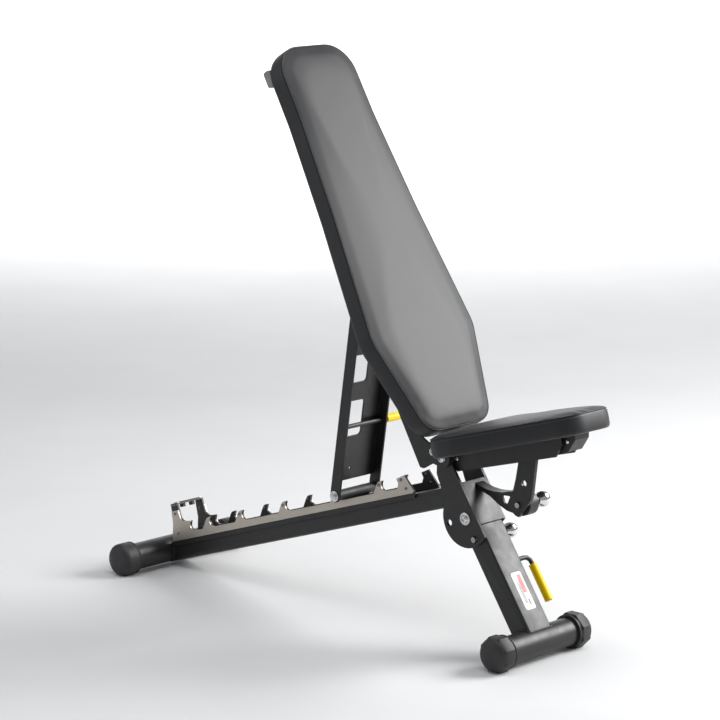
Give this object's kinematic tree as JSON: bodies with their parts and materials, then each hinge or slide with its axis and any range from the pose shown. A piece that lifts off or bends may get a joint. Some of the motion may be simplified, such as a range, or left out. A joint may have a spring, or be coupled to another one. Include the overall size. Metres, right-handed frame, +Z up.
{
  "type": "adjustable weight bench",
  "caption": "Adjustable weight bench: reclining backrest held by a strut in a notched ladder, tilting seat, fold-under front leg, pull-knob locks and round rubber-capped feet.",
  "frame": {"origin": "on the floor at the middle of the overall footprint, with the backrest at its stored 60 degrees", "axes": "+X towards the front leg, +Y towards the side with the pull knobs and handles, +Z up"},
  "size_m": [1.2734, 0.372, 1.2161],
  "materials": {
    "black_steel": "satin black powder coat",
    "stainless": "brushed",
    "chrome": "polished",
    "vinyl": "fine-grained black upholstery vinyl",
    "board": "black-covered plywood",
    "rubber": "matte moulded rubber",
    "grip": "soft yellow sleeve",
    "grey_plastic": "moulded end plug"
  },
  "bodies": {
    "frame": {"rear_foot_tube": "black_steel", "rear_foot_cap_near": "rubber", "rear_foot_cap_far": "rubber", "main_beam": "black_steel", "ladder_plate_near": "black_steel", "ladder_plate_far": "black_steel", "wear_plate_near": "stainless", "wear_plate_far": "stainless", "ladder_bridge": "black_steel", "bridge_bumper_near": "rubber", "bridge_bumper_far": "rubber", "bracket_plate_near": "black_steel", "bracket_plate_far": "black_steel", "post_front_web": "black_steel", "seat_support_arm": "black_steel", "main_pivot_bolt": "chrome", "main_pivot_nut": "chrome", "leg_pivot_bolt": "chrome", "leg_pivot_nut": "chrome", "seat_lock_barrel": "black_steel"},
    "leg": {"front_leg": "black_steel", "front_foot_tube": "black_steel", "front_foot_cap_near": "rubber", "front_foot_cap_far": "rubber", "leg_pivot_sleeve": "black_steel", "leg_handle_rod": "black_steel", "leg_handle_grip": "grip", "leg_lock_barrel": "black_steel"},
    "leg_lock": {"leg_lock_tip": "stainless", "leg_lock_pin": "stainless", "leg_lock_knob": "chrome"},
    "seat_lock": {"seat_lock_tip": "stainless", "seat_lock_pin": "stainless", "seat_lock_knob": "chrome"},
    "seat": {"seat_pad": "vinyl", "seat_board": "board", "seat_channel": "black_steel", "seat_pivot_sleeve": "black_steel", "seat_nose_plug": "black_steel", "seat_lock_plate": "black_steel"},
    "backrest": {"backrest_pad": "vinyl", "backrest_board": "board", "backrest_spine": "black_steel", "backrest_cross_tube_lower": "black_steel", "backrest_cross_tube_middle": "black_steel", "backrest_cross_tube_upper": "black_steel", "cross_tube_end_near": "grey_plastic", "cross_tube_end_far": "grey_plastic", "hinge_plate_near": "black_steel", "hinge_plate_far": "black_steel", "hinge_spacer_near": "black_steel", "hinge_spacer_far": "black_steel", "strut_pivot_bolt": "chrome", "strut_pivot_nut": "chrome"},
    "strut": {"strut_channel": "black_steel", "strut_roller": "rubber", "strut_axle_bolt": "chrome", "strut_axle_nut": "chrome", "strut_handle_rod": "black_steel", "strut_handle_grip": "grip"}
  },
  "joints": [
    {"name": "backrest_tilt", "type": "hinge", "parent": "frame", "child": "backrest", "pos_m": [0.27132, 0, 0.394], "axis": [0, 1, 0], "range_deg": [-60, 0]},
    {"name": "strut_swing", "type": "hinge", "parent": "backrest", "child": "strut", "pos_m": [0.04072, 0, 0.7127], "axis": [0, 1, 0], "range_deg": [0, 120]},
    {"name": "seat_tilt", "type": "hinge", "parent": "frame", "child": "seat", "pos_m": [0.27132, 0, 0.394], "axis": [0, 1, 0], "range_deg": [0, 15]},
    {"name": "leg_fold", "type": "hinge", "parent": "frame", "child": "leg", "pos_m": [0.32882, 0, 0.274], "axis": [0, 1, 0], "range_deg": [0, 104]},
    {"name": "leg_lock_pull", "type": "slide", "parent": "leg", "child": "leg_lock", "axis": [0, 1, 0], "range_m": [0, 0.016], "stiffness_N_per_m": 900, "springref_m": -0.01},
    {"name": "seat_lock_pull", "type": "slide", "parent": "frame", "child": "seat_lock", "axis": [0, 1, 0], "range_m": [0, 0.02], "stiffness_N_per_m": 900, "springref_m": -0.01}
  ],
  "couplings": [
    {"joint": "strut_swing", "follows": "backrest_tilt", "ratio": -2}
  ]
}
